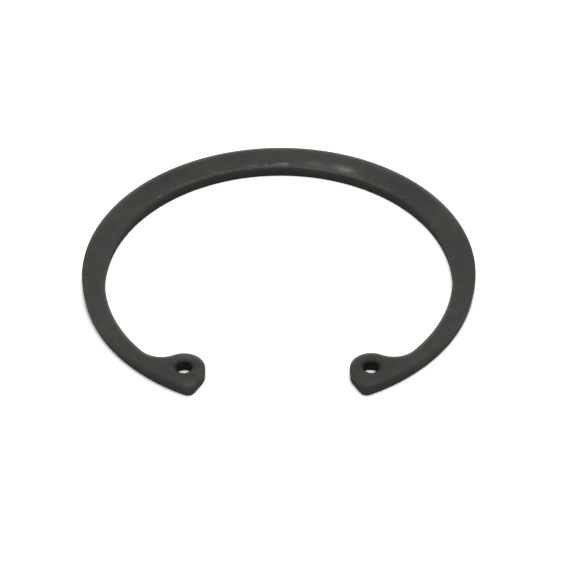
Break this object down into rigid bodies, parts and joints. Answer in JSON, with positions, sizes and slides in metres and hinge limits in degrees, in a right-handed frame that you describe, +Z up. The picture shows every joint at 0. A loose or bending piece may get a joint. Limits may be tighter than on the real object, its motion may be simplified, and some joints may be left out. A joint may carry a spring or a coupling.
{
  "type": "circlip retaining ring",
  "caption": "Flat open steel ring that springs into a groove inside a bore, tapering from its back to two inward lugs with plier holes.",
  "frame": {"origin": "centre of the round outer rim, on the plane of the lower face that the ring lies on", "axes": "+Z up through the sheet towards the face with the larger edge rounding, -Y out through the middle of the gap between the lugs, +Y through the ring's widest place, +X to the right of the gap seen from the front"},
  "size_m": [0.0764, 0.0728, 0.0025],
  "materials": {
    "phosphated_steel": "matt dark grey phosphate on spring steel, with a slight olive tint and light rub marks"
  },
  "bodies": {
    "root": {"retaining_ring": "phosphated_steel"}
  },
  "joints": []
}
